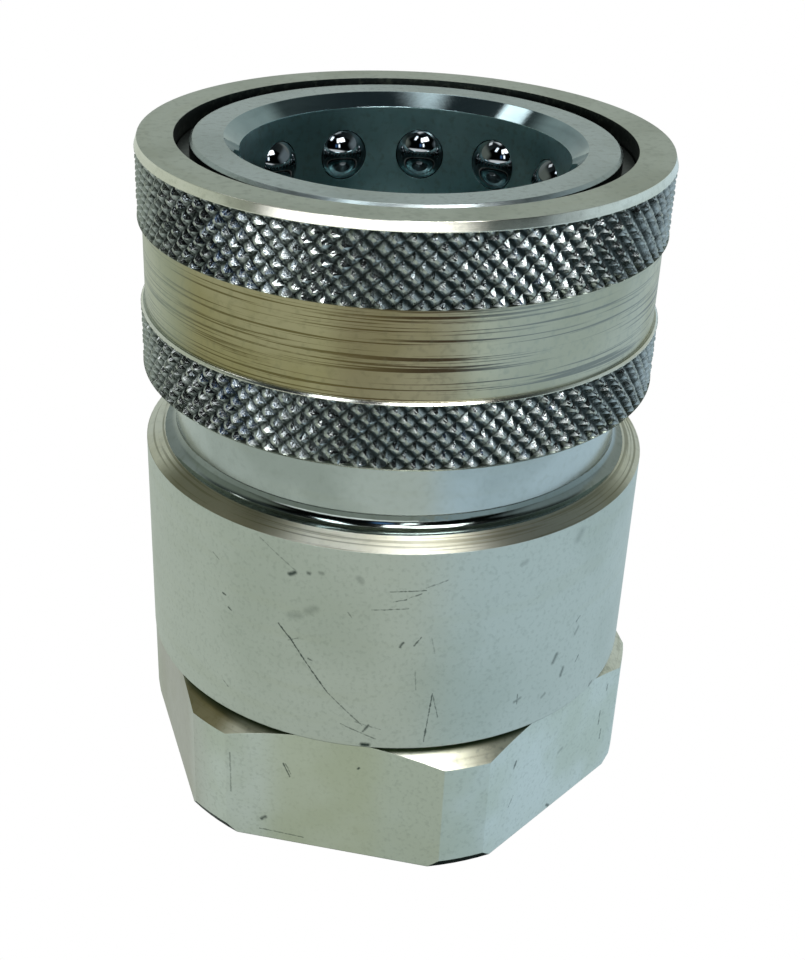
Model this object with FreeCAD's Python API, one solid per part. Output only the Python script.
import FreeCAD, Part
import math
import os

# Female half of a ball-lock quick coupling. Millimetres, +Z along its axis.
# The hex end stands on Z = 0 and the mating end points up.

# The bar that body and sleeve are turned from, and the length of the body
BARREL_OD = 57.2
BODY_LENGTH = 75.6

# Body, outside. Steps and widths are counted on the radius.
NECK_STEP = 3.4
NECK_OD = BARREL_OD - 2 * NECK_STEP
SPRING_ROOM = 2.3
NOSE_OD = NECK_OD - 2 * SPRING_ROOM
NOSE_EDGE_BREAK = 0.35
NOSE_LENGTH = 23.0
SPRING_SEAT_Z = BODY_LENGTH - NOSE_LENGTH
NECK_LOW_Z = 43.85
NECK_RUNOUT = 0.15
SHOULDER_WIDTH = 2.1
SHOULDER_INNER_OD = BARREL_OD - 2 * SHOULDER_WIDTH
SHOULDER_INNER_Z = 42.2
BARREL_TOP_Z = 41.3
BARREL_LOW_Z = 16.7
RELIEF_STEP = 1.4
RELIEF_OD = BARREL_OD - 2 * RELIEF_STEP
RELIEF_FILLET = 0.4

# Hex end
HEX_STEP = 1.6
HEX_ACROSS_FLATS = BARREL_OD - 2 * HEX_STEP
HEX_CORNER_REACH = 2.75
HEX_CORNER_OD = HEX_ACROSS_FLATS + 2 * HEX_CORNER_REACH
HEX_TOP_Z = 16.2
HEX_CHAMFER_HIGH_Z = 15.7
HEX_CHAMFER_LOW_Z = 14.1
HEX_FOOT_CHAMFER = (0.5, 1.05)

# Socket, counted down from the mouth
NOSE_WALL = 5.25
SOCKET_BORE = NOSE_OD - 2 * NOSE_WALL
SOCKET_LEAD_IN = (1.65, 1.4)
SOCKET_DEPTH = 25.6
SOCKET_FLOOR_Z = BODY_LENGTH - SOCKET_DEPTH
SEAL_GROOVE_DEPTH = 2.8
SEAL_GROOVE_OD = SOCKET_BORE + 2 * SEAL_GROOVE_DEPTH
SEAL_GROOVE_WIDTH = 4.4
SEAL_GROOVE_LOW_Z = SOCKET_FLOOR_Z + 7.0

# Valve seat, chamber and port
SEAT_LEDGE = 5.05
SEAT_BORE = SOCKET_BORE - 2 * SEAT_LEDGE
SEAT_THICKNESS = 3.0
SEAT_HIGH_Z = SOCKET_FLOOR_Z - SEAT_THICKNESS
CHAMBER_STEP = 2.7
CHAMBER_BORE = SEAT_BORE + 2 * CHAMBER_STEP
PORT_STEP = 0.3
PORT_BORE = CHAMBER_BORE + 2 * PORT_STEP
PORT_DEPTH = 16.5
PORT_CHAMFER = 1.3
CIRCLIP_GROOVE_DEPTH = 1.1
CIRCLIP_GROOVE_OD = CHAMBER_BORE + 2 * CIRCLIP_GROOVE_DEPTH
CIRCLIP_GROOVE_LOW_Z = PORT_DEPTH + 0.9
CIRCLIP_GROOVE_WIDTH = 1.35

# Locking balls
BALL_D = 6.75
BALL_COUNT = 12
BALL_FIRST_ANGLE = 5.5
BALL_DEPTH = 6.9
BALL_Z = BODY_LENGTH - BALL_DEPTH
BALL_FALL_IN = 1.615
BALL_HOLE_CLEARANCE = 0.055

# Sleeve, turned from the same bar as the body
SLEEVE_OD = BARREL_OD
SLEEVE_STAND_OUT = 0.3
SLEEVE_TOP_Z = BODY_LENGTH + SLEEVE_STAND_OUT
SLEEVE_LENGTH = 25.3
SLEEVE_TOP_CHAMFER = (0.3, 0.95)
SLEEVE_FOOT_CHAMFER = 0.35
BAND_DEPTH = 0.5
UPPER_KNURL_LENGTH = 8.4
LOWER_KNURL_LENGTH = 7.4
BAND_CHAMFER = 0.25
KNURL_COUNT = 93
KNURL_ROW_HEIGHT = 0.96
KNURL_DEPTH = 0.35
KNURL_INSET = 0.05
SEWING_TOLERANCE = 1e-6
SLEEVE_LIP = 4.1
SLEEVE_OPENING = SLEEVE_OD - 2 * SLEEVE_LIP
LAND_LENGTH = 4.2
LAND_LOW_Z = BALL_Z - LAND_LENGTH
RAMP_ANGLE = 16.9
SLEEVE_CLEARANCE = 0.08

# Ring that stops the sleeve at the mating end
STOP_RING_DEPTH = 2.75
STOP_RING_LOW_Z = BODY_LENGTH - STOP_RING_DEPTH
STOP_RING_THICKNESS = 1.1
STOP_RING_ROOM = 0.15
STOP_RING_OD = SLEEVE_OPENING - 2 * STOP_RING_ROOM
STOP_GROOVE_DEPTH = 0.85
STOP_GROOVE_OD = NOSE_OD - 2 * STOP_GROOVE_DEPTH
STOP_RING_GAP_ANGLE = 14.0
RING_CLEARANCE = 0.05

# Springs
SLEEVE_WIRE = 1.5
SLEEVE_HALF_TURNS = 6
VALVE_WIRE = 1.8
VALVE_HALF_TURNS = 11
SPRING_END_CLEARANCE = 0.03
CLOSED_PITCH = 1.04

# Socket seal and its backup ring
SOCKET_SEAL_SECTION = 2.62
BACKUP_THICKNESS = 1.4
SEAL_CLEARANCE = 0.05

# Poppet valve
PILOT_CLEARANCE = 0.3
PILOT_OD = SEAT_BORE - 2 * PILOT_CLEARANCE
PILOT_HIGH_Z = SOCKET_FLOOR_Z - 0.5
PILOT_LOW_Z = SEAT_HIGH_Z - 0.2
POPPET_TIP_Z = SOCKET_FLOOR_Z + 7.5
POPPET_TIP_OD = 11.0
POPPET_TIP_EDGE = 1.5
FLANGE_ROOM = 1.7
FLANGE_OD = CHAMBER_BORE - 2 * FLANGE_ROOM
FLANGE_THICKNESS = 2.8
POPPET_SEAL_SECTION = 2.4
STEM_SHARE = 0.229
STEM_OD = STEM_SHARE * CHAMBER_BORE
STEM_LOW_Z = PORT_DEPTH + 0.5
STEM_CHAMFER = 0.6
SPRING_SHARE = 0.569
VALVE_SPRING_MEAN_D = SPRING_SHARE * CHAMBER_BORE
BOSS_CLEARANCE = 0.6
SPRING_BOSS_OD = VALVE_SPRING_MEAN_D - VALVE_WIRE - 2 * BOSS_CLEARANCE
SPRING_BOSS_HEIGHT = 1.8

# Valve guide and its circlip
GUIDE_THICKNESS = 3.3
GUIDE_HUB_WALL = 0.4
GUIDE_HUB_OD = VALVE_SPRING_MEAN_D + VALVE_WIRE + 2 * GUIDE_HUB_WALL
GUIDE_RIM_WIDTH = 1.8
GUIDE_WINDOWS = 4
GUIDE_SPOKE_WIDTH = 3.4
GUIDE_CLEARANCE = 0.1
STEM_CLEARANCE = 0.06
CIRCLIP_THICKNESS = 1.25
CIRCLIP_INNER_WIDTH = 1.4
CIRCLIP_BORE = CHAMBER_BORE - 2 * CIRCLIP_INNER_WIDTH
CIRCLIP_GAP_ANGLE = 50.0
CIRCLIP_EAR_D = 4.4
CIRCLIP_HOLE_D = 2.0

# Places that follow from the sizes above
SLEEVE_LOW_Z = SLEEVE_TOP_Z - SLEEVE_LENGTH
BAND_LOW_Z = SLEEVE_LOW_Z + LOWER_KNURL_LENGTH
BAND_HIGH_Z = SLEEVE_TOP_Z - UPPER_KNURL_LENGTH
LAND_R = NOSE_OD / 2 + SLEEVE_CLEARANCE
BALL_R = BALL_D / 2
BALL_PITCH_R = SOCKET_BORE / 2 + BALL_R - BALL_FALL_IN
STOP_LEDGE_Z = STOP_RING_LOW_Z - RING_CLEARANCE
SEAT_CONE = SEAT_BORE / 2 + SEAT_HIGH_Z
POPPET_SEAL_Z = (
    SEAT_CONE
    - PILOT_OD / 2
    - (POPPET_SEAL_SECTION / 2 + SEAL_CLEARANCE) * math.sqrt(2)
)
FLANGE_TOP_Z = POPPET_SEAL_Z - POPPET_SEAL_SECTION / 2 - SEAL_CLEARANCE
FLANGE_LOW_Z = FLANGE_TOP_Z - FLANGE_THICKNESS
CIRCLIP_LOW_Z = CIRCLIP_GROOVE_LOW_Z + (CIRCLIP_GROOVE_WIDTH - CIRCLIP_THICKNESS) / 2
GUIDE_LOW_Z = CIRCLIP_LOW_Z + CIRCLIP_THICKNESS
GUIDE_TOP_Z = GUIDE_LOW_Z + GUIDE_THICKNESS

AXIS = FreeCAD.Vector(0, 0, 1)
ORIGIN = FreeCAD.Vector(0, 0, 0)


def rz(point):
    """Vector of a (radius, height) pair in the XZ plane."""
    return FreeCAD.Vector(point[0], 0, point[1])


def turned(outline, arcs=None):
    """Turn a closed outline of (radius, height) points round the axis.

    arcs gives, for a corner's index, a third point that the side after
    that corner passes through as an arc.
    """
    arcs = arcs or {}
    edges = []
    for index, start in enumerate(outline):
        end = outline[(index + 1) % len(outline)]
        if index in arcs:
            side = Part.Arc(rz(start), rz(arcs[index]), rz(end)).toShape()
        else:
            side = Part.makeLine(rz(start), rz(end))
        edges.append(side)
    return Part.Face(Part.Wire(edges)).revolve(ORIGIN, AXIS, 360)


def disc(radius, low_z, height):
    """Cylinder on the axis."""
    return Part.makeCylinder(radius, height, FreeCAD.Vector(0, 0, low_z))


def pipe(outer_r, inner_r, low_z, height):
    """Plain ring on the axis."""
    return disc(outer_r, low_z, height).cut(disc(inner_r, low_z, height))


def hexagon(across_flats, low_z, height):
    """Hexagonal prism with two flats square to X."""
    corner_r = across_flats / 2 / math.cos(math.pi / 6)
    angles = [math.radians(30 + 60 * k) for k in range(6)]
    points = [
        FreeCAD.Vector(corner_r * math.cos(a), corner_r * math.sin(a), low_z)
        for a in angles
    ]
    face = Part.Face(Part.makePolygon(points + points[:1]))
    return face.extrude(FreeCAD.Vector(0, 0, height))


def round_ring(mean_d, section, z):
    """Ring of round section, such as an O-ring."""
    return Part.makeTorus(mean_d / 2, section / 2, FreeCAD.Vector(0, 0, z))


def wedge(radius, low_z, height, middle_angle, width_angle):
    """Slice of a cylinder, used to open rings."""
    slice_ = Part.makeCylinder(radius, height, FreeCAD.Vector(0, 0, low_z), AXIS, width_angle)
    slice_.rotate(ORIGIN, AXIS, middle_angle - width_angle / 2)
    return slice_


def arc_point(centre, radius, degrees):
    """Point of a circle in the (radius, height) plane."""
    angle = math.radians(degrees)
    return (centre[0] + radius * math.cos(angle), centre[1] + radius * math.sin(angle))


def neck_fillet():
    """Ends and middle of the polished hollow between neck and shoulder."""
    start = (NECK_OD / 2 - NECK_RUNOUT, NECK_LOW_Z - NECK_RUNOUT)
    end = (SHOULDER_INNER_OD / 2, SHOULDER_INNER_Z)
    run = end[0] - start[0]
    drop = start[1] - end[1]
    radius = (run * run + drop * drop) / (2 * run)
    centre = (start[0] + radius, start[1])
    sweep = math.degrees(math.asin(drop / radius))
    return start, arc_point(centre, radius, 180 + sweep / 2), end


def body_outside():
    """Outer outline of the body from the mouth's edge down to the foot."""
    nose_r = NOSE_OD / 2
    groove_r = STOP_GROOVE_OD / 2
    groove_low = STOP_RING_LOW_Z - RING_CLEARANCE
    groove_high = STOP_RING_LOW_Z + STOP_RING_THICKNESS + RING_CLEARANCE
    fillet_start, _, fillet_end = neck_fillet()
    relief_r = RELIEF_OD / 2
    return [
        (nose_r - NOSE_EDGE_BREAK, BODY_LENGTH),
        (nose_r, BODY_LENGTH - NOSE_EDGE_BREAK),
        (nose_r, groove_high),
        (groove_r, groove_high),
        (groove_r, groove_low),
        (nose_r, groove_low),
        (nose_r, SPRING_SEAT_Z),
        (NECK_OD / 2, SPRING_SEAT_Z),
        (NECK_OD / 2, NECK_LOW_Z),
        fillet_start,
        fillet_end,
        (BARREL_OD / 2, BARREL_TOP_Z),
        (BARREL_OD / 2, BARREL_LOW_Z),
        (relief_r + RELIEF_FILLET, BARREL_LOW_Z),
        (relief_r, BARREL_LOW_Z - RELIEF_FILLET),
        (relief_r, HEX_CHAMFER_HIGH_Z),
        (HEX_CORNER_OD / 2, HEX_CHAMFER_LOW_Z),
        (HEX_CORNER_OD / 2, HEX_FOOT_CHAMFER[1]),
        (HEX_CORNER_OD / 2 - HEX_FOOT_CHAMFER[0], 0),
    ]


def body_inside():
    """Inner outline of the body from the port's mouth up to the socket's."""
    port_r = PORT_BORE / 2
    chamber_r = CHAMBER_BORE / 2
    circlip_r = CIRCLIP_GROOVE_OD / 2
    circlip_high = CIRCLIP_GROOVE_LOW_Z + CIRCLIP_GROOVE_WIDTH
    socket_r = SOCKET_BORE / 2
    seal_r = SEAL_GROOVE_OD / 2
    seal_high = SEAL_GROOVE_LOW_Z + SEAL_GROOVE_WIDTH
    return [
        (port_r + PORT_CHAMFER, 0),
        (port_r, PORT_CHAMFER),
        (port_r, PORT_DEPTH),
        (chamber_r, PORT_DEPTH + port_r - chamber_r),
        (chamber_r, CIRCLIP_GROOVE_LOW_Z),
        (circlip_r, CIRCLIP_GROOVE_LOW_Z),
        (circlip_r, circlip_high),
        (chamber_r, circlip_high),
        (chamber_r, SEAT_CONE - chamber_r),
        (SEAT_BORE / 2, SEAT_HIGH_Z),
        (SEAT_BORE / 2, SOCKET_FLOOR_Z),
        (socket_r, SOCKET_FLOOR_Z),
        (socket_r, SEAL_GROOVE_LOW_Z),
        (seal_r, SEAL_GROOVE_LOW_Z),
        (seal_r, seal_high),
        (socket_r, seal_high),
        (socket_r, BODY_LENGTH - SOCKET_LEAD_IN[1]),
        (socket_r + SOCKET_LEAD_IN[0], BODY_LENGTH),
    ]


def ball_angles():
    """Angle of each locking ball round the axis."""
    return [BALL_FIRST_ANGLE + k * 360 / BALL_COUNT for k in range(BALL_COUNT)]


def ball_hole(angle):
    """Hole drilled from outside, round-bottomed so that a lip holds the ball."""
    radius = BALL_R + BALL_HOLE_CLEARANCE
    centre = FreeCAD.Vector(BALL_PITCH_R, 0, BALL_Z)
    bottom = Part.makeSphere(radius, centre)
    side = Part.makeCylinder(radius, NOSE_OD / 2, centre, FreeCAD.Vector(1, 0, 0))
    hole = bottom.fuse(side)
    hole.rotate(ORIGIN, AXIS, angle)
    return hole


def coupler_body():
    """Nose, neck, barrel and hex in one turned and milled piece."""
    outside = body_outside()
    fillet_side = outside.index(neck_fillet()[0])
    body = turned(outside + body_inside(), {fillet_side: neck_fillet()[1]})
    waste = disc(HEX_CORNER_OD, 0, HEX_TOP_Z).cut(hexagon(HEX_ACROSS_FLATS, 0, HEX_TOP_Z))
    body = body.cut(waste)
    return body.cut([ball_hole(angle) for angle in ball_angles()])


def knurl_rows(low_z, high_z):
    """Rows of points of a knurl, with peaks and groove crossings in turn."""
    peak_r = SLEEVE_OD / 2 - KNURL_INSET
    low_r = peak_r - KNURL_DEPTH
    row_count = round((high_z - low_z) / KNURL_ROW_HEIGHT)
    rows = []
    for row in range(row_count + 1):
        z = low_z + (high_z - low_z) * row / row_count
        points = []
        for step in range(2 * KNURL_COUNT):
            radius = low_r if (row + step) % 2 else peak_r
            angle = math.pi * step / KNURL_COUNT
            points.append(FreeCAD.Vector(radius * math.cos(angle), radius * math.sin(angle), z))
        rows.append(points)
    return rows


def knurl_facets(rows):
    """Two facets between four neighbouring points, parted along the groove."""
    facets = []
    count = len(rows[0])
    for row in range(len(rows) - 1):
        for step in range(count):
            after = (step + 1) % count
            ring = [rows[row][step], rows[row][after], rows[row + 1][after], rows[row + 1][step]]
            if (row + step) % 2 == 0:
                ring = ring[1:] + ring[:1]
            facets.append((ring[0], ring[1], ring[2]))
            facets.append((ring[0], ring[2], ring[3]))
    return [Part.Face(Part.makePolygon([*facet, facet[0]])) for facet in facets]


def knurl_edge(circle_r, points):
    """Flat wall between a knurl's end row and a circle."""
    z = points[0].z
    circle = Part.Wire(Part.makeCircle(circle_r, FreeCAD.Vector(0, 0, z)))
    end_row = Part.makePolygon([*points, points[0]])
    outer, inner = (circle, end_row) if circle_r >= SLEEVE_OD / 2 else (end_row, circle)
    return Part.Face([outer, inner])


def knurled(blank):
    """Put the two knurls in place of the plain walls of the sleeve's blank."""
    crest_r = SLEEVE_OD / 2
    plain = []
    for face in blank.Faces:
        on_crest = isinstance(face.Surface, Part.Cylinder) and face.Surface.Radius > crest_r - KNURL_INSET
        on_step = isinstance(face.Surface, Part.Plane) and abs(face.CenterOfMass.z - BAND_HIGH_Z) < KNURL_INSET
        if not on_crest and not on_step:
            plain.append(face)
    lower = knurl_rows(SLEEVE_LOW_Z + SLEEVE_FOOT_CHAMFER, BAND_LOW_Z - BAND_CHAMFER)
    upper = knurl_rows(BAND_HIGH_Z, SLEEVE_TOP_Z - SLEEVE_TOP_CHAMFER[1])
    edges = [
        knurl_edge(crest_r, lower[0]),
        knurl_edge(crest_r, lower[-1]),
        knurl_edge(crest_r - BAND_DEPTH, upper[0]),
        knurl_edge(crest_r, upper[-1]),
    ]
    skin = Part.Compound(plain + edges + knurl_facets(lower) + knurl_facets(upper))
    skin.sewShape()
    solid = Part.Solid(skin.Shells[0])
    solid.fix(SEWING_TOLERANCE, SEWING_TOLERANCE, SEWING_TOLERANCE)
    return solid


def sleeve():
    """Knurled sleeve that slides down to free the balls."""
    skirt_r = NECK_OD / 2 + SLEEVE_CLEARANCE
    crest_r = SLEEVE_OD / 2
    band_r = crest_r - BAND_DEPTH
    opening_r = SLEEVE_OPENING / 2
    ramp_r = LAND_R + (STOP_LEDGE_Z - BALL_Z) * math.tan(math.radians(RAMP_ANGLE))
    outline = [
        (crest_r - SLEEVE_TOP_CHAMFER[0], SLEEVE_TOP_Z),
        (crest_r, SLEEVE_TOP_Z - SLEEVE_TOP_CHAMFER[1]),
        (crest_r, BAND_HIGH_Z),
        (band_r, BAND_HIGH_Z),
        (band_r, BAND_LOW_Z),
        (crest_r - BAND_CHAMFER, BAND_LOW_Z),
        (crest_r, BAND_LOW_Z - BAND_CHAMFER),
        (crest_r, SLEEVE_LOW_Z + SLEEVE_FOOT_CHAMFER),
        (crest_r - SLEEVE_FOOT_CHAMFER, SLEEVE_LOW_Z),
        (skirt_r, SLEEVE_LOW_Z),
        (skirt_r, LAND_LOW_Z),
        (LAND_R, LAND_LOW_Z),
        (LAND_R, BALL_Z),
        (ramp_r, STOP_LEDGE_Z),
        (opening_r, STOP_LEDGE_Z),
        (opening_r, SLEEVE_TOP_Z),
    ]
    return knurled(turned(outline))


def locking_ball(angle):
    """Ball at its inner place, standing out into the socket."""
    ball = Part.makeSphere(BALL_R, FreeCAD.Vector(BALL_PITCH_R, 0, BALL_Z))
    ball.rotate(ORIGIN, AXIS, angle)
    return ball


def sleeve_stop_ring():
    """Flat snap ring in the nose, which the sleeve's ledge rests under."""
    inner_r = STOP_GROOVE_OD / 2 + RING_CLEARANCE
    ring = pipe(STOP_RING_OD / 2, inner_r, STOP_RING_LOW_Z, STOP_RING_THICKNESS)
    gap = wedge(STOP_RING_OD, STOP_RING_LOW_Z, STOP_RING_THICKNESS, 90, STOP_RING_GAP_ANGLE)
    return ring.cut(gap)


def coil(mean_d, wire_d, low_z, high_z, half_turns):
    """Compression spring between two seats.

    Each half turn is half of a tilted ring, level where it meets the next.
    The first and last two half turns close the ends.
    """
    closed_rise = wire_d * CLOSED_PITCH / 2
    z = low_z + wire_d / 2 + SPRING_END_CLEARANCE
    rise_left = high_z - wire_d / 2 - SPRING_END_CLEARANCE - z - 4 * closed_rise
    open_rise = rise_left / (half_turns - 4)
    parts = []
    for k in range(half_turns):
        rise = open_rise if 2 <= k < half_turns - 2 else closed_rise
        tilt = math.atan2(rise, mean_d)
        half = Part.makeTorus(mean_d / 2 / math.cos(tilt), wire_d / 2, ORIGIN, AXIS, 0, 360, 180)
        half.rotate(ORIGIN, FreeCAD.Vector(0, 1, 0), math.degrees(tilt))
        half.rotate(ORIGIN, AXIS, 180 * k)
        half.translate(FreeCAD.Vector(0, 0, z + rise / 2))
        parts.append(half)
        z += rise
    return parts[0].fuse(parts[1:])


def sleeve_spring():
    """Spring between the neck's step and the sleeve's land."""
    room = NECK_OD / 2 + SLEEVE_CLEARANCE + NOSE_OD / 2
    return coil(room, SLEEVE_WIRE, SPRING_SEAT_Z, LAND_LOW_Z, SLEEVE_HALF_TURNS)


def socket_seal():
    """O-ring that seals on the other half's tip."""
    outer = SEAL_GROOVE_OD - 2 * SEAL_CLEARANCE
    z = SEAL_GROOVE_LOW_Z + SEAL_CLEARANCE + SOCKET_SEAL_SECTION / 2
    return round_ring(outer - SOCKET_SEAL_SECTION, SOCKET_SEAL_SECTION, z)


def backup_ring():
    """Flat ring above the O-ring, on the side that the pressure pushes it to."""
    outer_r = SEAL_GROOVE_OD / 2 - SEAL_CLEARANCE
    inner_r = SOCKET_BORE / 2 + SEAL_CLEARANCE
    top = SEAL_GROOVE_LOW_Z + SEAL_GROOVE_WIDTH - SEAL_CLEARANCE
    return pipe(outer_r, inner_r, top - BACKUP_THICKNESS, BACKUP_THICKNESS)


def poppet():
    """Valve head and stem, turned in one."""
    pilot_r = PILOT_OD / 2
    tip_r = POPPET_TIP_OD / 2
    groove_r = (PILOT_OD - POPPET_SEAL_SECTION) / 2 - SEAL_CLEARANCE
    stem_r = STEM_OD / 2
    boss_r = SPRING_BOSS_OD / 2
    outline = [
        (0, POPPET_TIP_Z),
        (tip_r - POPPET_TIP_EDGE, POPPET_TIP_Z),
        (tip_r, POPPET_TIP_Z - POPPET_TIP_EDGE),
        (pilot_r, PILOT_HIGH_Z),
        (pilot_r, PILOT_LOW_Z),
        (groove_r, PILOT_LOW_Z),
        (groove_r, FLANGE_TOP_Z),
        (FLANGE_OD / 2, FLANGE_TOP_Z),
        (FLANGE_OD / 2, FLANGE_LOW_Z),
        (boss_r, FLANGE_LOW_Z),
        (boss_r, FLANGE_LOW_Z - SPRING_BOSS_HEIGHT),
        (stem_r, FLANGE_LOW_Z - SPRING_BOSS_HEIGHT),
        (stem_r, STEM_LOW_Z + STEM_CHAMFER),
        (stem_r - STEM_CHAMFER, STEM_LOW_Z),
        (0, STEM_LOW_Z),
    ]
    bend = POPPET_TIP_EDGE * (1 - math.sqrt(0.5))
    return turned(outline, {1: (tip_r - bend, POPPET_TIP_Z - bend)})


def poppet_seal():
    """O-ring between the poppet's groove and the cone of the seat."""
    return round_ring(PILOT_OD, POPPET_SEAL_SECTION, POPPET_SEAL_Z)


def valve_guide():
    """Spoked disc that guides the stem and lets the fluid through."""
    rim_r = CHAMBER_BORE / 2 - GUIDE_CLEARANCE
    hub_r = GUIDE_HUB_OD / 2
    boss_r = SPRING_BOSS_OD / 2
    windows = pipe(rim_r - GUIDE_RIM_WIDTH, hub_r, GUIDE_LOW_Z, GUIDE_THICKNESS)
    for k in range(GUIDE_WINDOWS):
        spoke = Part.makeBox(
            rim_r,
            GUIDE_SPOKE_WIDTH,
            GUIDE_THICKNESS,
            FreeCAD.Vector(0, -GUIDE_SPOKE_WIDTH / 2, GUIDE_LOW_Z),
        )
        spoke.rotate(ORIGIN, AXIS, 45 + 360 * k / GUIDE_WINDOWS)
        windows = windows.cut(spoke)
    guide = disc(rim_r, GUIDE_LOW_Z, GUIDE_THICKNESS).cut(windows)
    guide = guide.fuse(disc(boss_r, GUIDE_TOP_Z, SPRING_BOSS_HEIGHT)).removeSplitter()
    bore = disc(STEM_OD / 2 + STEM_CLEARANCE, 0, BODY_LENGTH)
    return guide.cut(bore)


def valve_circlip():
    """Internal circlip with eared ends, which holds the guide in the body."""
    outer_r = CIRCLIP_GROOVE_OD / 2 - RING_CLEARANCE
    inner_r = CIRCLIP_BORE / 2
    ring = pipe(outer_r, inner_r, CIRCLIP_LOW_Z, CIRCLIP_THICKNESS)
    ring = ring.cut(wedge(outer_r + 1, CIRCLIP_LOW_Z, CIRCLIP_THICKNESS, 90, CIRCLIP_GAP_ANGLE))
    ear_r = CHAMBER_BORE / 2 - RING_CLEARANCE - CIRCLIP_EAR_D / 2
    for side in (-1, 1):
        angle = math.radians(90 + side * CIRCLIP_GAP_ANGLE / 2)
        place = FreeCAD.Vector(ear_r * math.cos(angle), ear_r * math.sin(angle), CIRCLIP_LOW_Z)
        ear = Part.makeCylinder(CIRCLIP_EAR_D / 2, CIRCLIP_THICKNESS, place)
        hole = Part.makeCylinder(CIRCLIP_HOLE_D / 2, CIRCLIP_THICKNESS, place)
        ring = ring.fuse(ear).cut(hole)
    return ring.removeSplitter()


def valve_spring():
    """Spring that closes the poppet."""
    return coil(VALVE_SPRING_MEAN_D, VALVE_WIRE, GUIDE_TOP_Z, FLANGE_LOW_Z, VALVE_HALF_TURNS)


def all_nodes():
    """Every piece by its node name."""
    nodes = {
        "coupler_body": coupler_body(),
        "sleeve": sleeve(),
        "sleeve_stop_ring": sleeve_stop_ring(),
        "sleeve_spring": sleeve_spring(),
        "socket_seal": socket_seal(),
        "backup_ring": backup_ring(),
        "poppet": poppet(),
        "poppet_seal": poppet_seal(),
        "valve_spring": valve_spring(),
        "valve_guide": valve_guide(),
        "valve_circlip": valve_circlip(),
    }
    for number, angle in enumerate(ball_angles(), start=1):
        nodes[f"locking_ball_{number:02d}"] = locking_ball(angle)
    return nodes


def main():
    """Write one file for each piece."""
    os.makedirs("parts", exist_ok=True)
    for name, shape in all_nodes().items():
        shape.Solids[0].exportStep(f"parts/{name}.step")


main()
